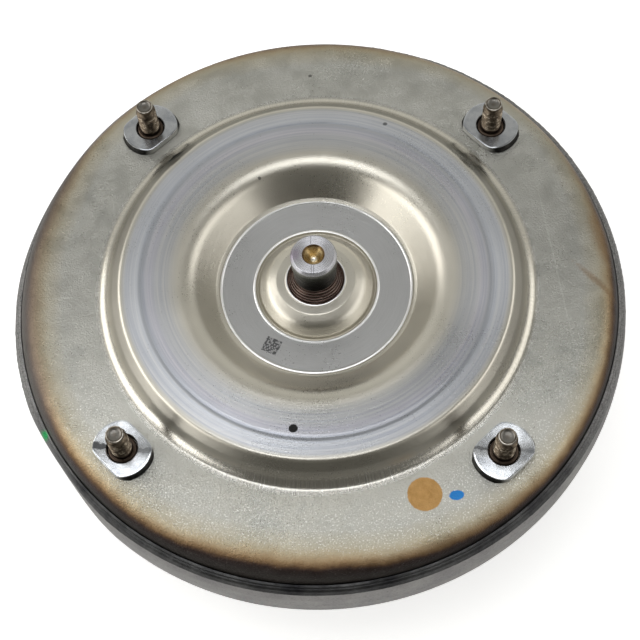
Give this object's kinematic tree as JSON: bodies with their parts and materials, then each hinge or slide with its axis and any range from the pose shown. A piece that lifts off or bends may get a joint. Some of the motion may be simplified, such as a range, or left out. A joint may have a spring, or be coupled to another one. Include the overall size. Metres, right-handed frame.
{
  "type": "torque converter",
  "caption": "Welded torque converter, engine side up, with a pilot nose, studs on flat-sided pads, and its turbine, stator, damper and lock-up piston inside.",
  "frame": {"origin": "on the axis, at the end face of the drive hub, where the part stands", "axes": "+Z along the axis towards the engine, out of the pilot nose; the studs lie at 45 degrees between X and Y"},
  "size_m": [0.3098, 0.3098, 0.1369],
  "materials": {
    "cover_steel": "bare pressed steel, satin, heat-tinted at the rim",
    "shell_steel": "bare pressed steel, darkened",
    "weld_steel": "as welded, dark scale",
    "nose_steel": "fine turned steel",
    "pad_zinc": "bright zinc plate",
    "stud_phosphate": "brown-black phosphate",
    "pressed_steel": "plain pressed steel",
    "hub_steel": "machined steel",
    "spring_steel": "oil-tempered spring steel",
    "friction_paper": "friction paper, dry",
    "seal_plastic": "filled seal plastic",
    "stator_alloy": "die-cast, matt",
    "bearing_steel": "hardened and ground"
  },
  "bodies": {
    "housing": {"front_cover": "cover_steel", "pilot_nose": "nose_steel", "stud_1": "stud_phosphate", "stud_2": "stud_phosphate", "stud_3": "stud_phosphate", "stud_4": "stud_phosphate", "stud_pad_1": "pad_zinc", "stud_pad_2": "pad_zinc", "stud_pad_3": "pad_zinc", "stud_pad_4": "pad_zinc", "closing_weld": "weld_steel", "impeller_shell": "shell_steel", "impeller_blades": "pressed_steel", "impeller_hub": "hub_steel", "hub_weld": "weld_steel", "cover_thrust_race": "bearing_steel"},
    "turbine": {"turbine_shell": "pressed_steel", "turbine_blades": "pressed_steel", "turbine_hub": "hub_steel", "driven_plate": "pressed_steel", "piston_seal": "seal_plastic", "hub_rivet_1": "hub_steel", "hub_rivet_2": "hub_steel", "hub_rivet_3": "hub_steel", "hub_rivet_4": "hub_steel"},
    "damper": {"damper_front_plate": "pressed_steel", "damper_rear_plate": "pressed_steel", "damper_rivet_1": "hub_steel", "damper_rivet_2": "hub_steel", "damper_rivet_3": "hub_steel", "damper_spring_1": "spring_steel", "damper_spring_2": "spring_steel", "damper_spring_3": "spring_steel", "damper_spring_4": "spring_steel", "damper_spring_5": "spring_steel", "damper_spring_6": "spring_steel"},
    "piston": {"lockup_piston": "pressed_steel", "friction_lining": "friction_paper"},
    "stator_carrier": {"stator_inner_race": "bearing_steel"},
    "stator": {"stator_wheel": "stator_alloy", "clutch_outer_race": "bearing_steel", "stator_front_plate": "bearing_steel", "stator_rear_plate": "bearing_steel", "clutch_roller_1": "bearing_steel", "clutch_roller_2": "bearing_steel", "clutch_roller_3": "bearing_steel", "clutch_roller_4": "bearing_steel", "clutch_roller_5": "bearing_steel", "clutch_roller_6": "bearing_steel", "clutch_spring_1": "spring_steel", "clutch_spring_2": "spring_steel", "clutch_spring_3": "spring_steel", "clutch_spring_4": "spring_steel", "clutch_spring_5": "spring_steel", "clutch_spring_6": "spring_steel"},
    "cover_bearing": {"cover_thrust_bearing": "bearing_steel"},
    "turbine_bearing": {"turbine_thrust_bearing": "bearing_steel"},
    "impeller_bearing": {"impeller_thrust_bearing": "bearing_steel"}
  },
  "joints": [
    {"name": "turbine_spin", "type": "hinge", "parent": "housing", "child": "turbine", "pos_m": [0, 0, 0.088], "axis": [0, 0, 1], "continuous": true},
    {"name": "damper_twist", "type": "hinge", "parent": "turbine", "child": "damper", "pos_m": [0, 0, 0.095], "axis": [0, 0, 1], "range_deg": [-8, 8], "stiffness_Nm_per_rad": 60, "deforming": ["damper_spring_1", "damper_spring_2", "damper_spring_3", "damper_spring_4", "damper_spring_5", "damper_spring_6"]},
    {"name": "lockup_apply", "type": "slide", "parent": "damper", "child": "piston", "axis": [0, 0, 1], "range_m": [0, 0.001]},
    {"name": "stator_carrier_spin", "type": "hinge", "parent": "housing", "child": "stator_carrier", "pos_m": [0, 0, 0.0585], "axis": [0, 0, 1], "continuous": true},
    {"name": "stator_overrun", "type": "hinge", "parent": "stator_carrier", "child": "stator", "pos_m": [0, 0, 0.0585], "axis": [0, 0, 1], "range_deg": [0, 360]},
    {"name": "cover_bearing_spin", "type": "hinge", "parent": "housing", "child": "cover_bearing", "pos_m": [0, 0, 0.104], "axis": [0, 0, 1], "continuous": true},
    {"name": "turbine_bearing_spin", "type": "hinge", "parent": "housing", "child": "turbine_bearing", "pos_m": [0, 0, 0.07], "axis": [0, 0, 1], "continuous": true},
    {"name": "impeller_bearing_spin", "type": "hinge", "parent": "housing", "child": "impeller_bearing", "pos_m": [0, 0, 0.048], "axis": [0, 0, 1], "continuous": true}
  ],
  "couplings": [
    {"joint": "cover_bearing_spin", "follows": "turbine_spin", "ratio": 0.5},
    {"joint": "turbine_bearing_spin", "follows": "turbine_spin", "ratio": 0.5},
    {"joint": "impeller_bearing_spin", "follows": "stator_carrier_spin", "ratio": 0.5}
  ]
}
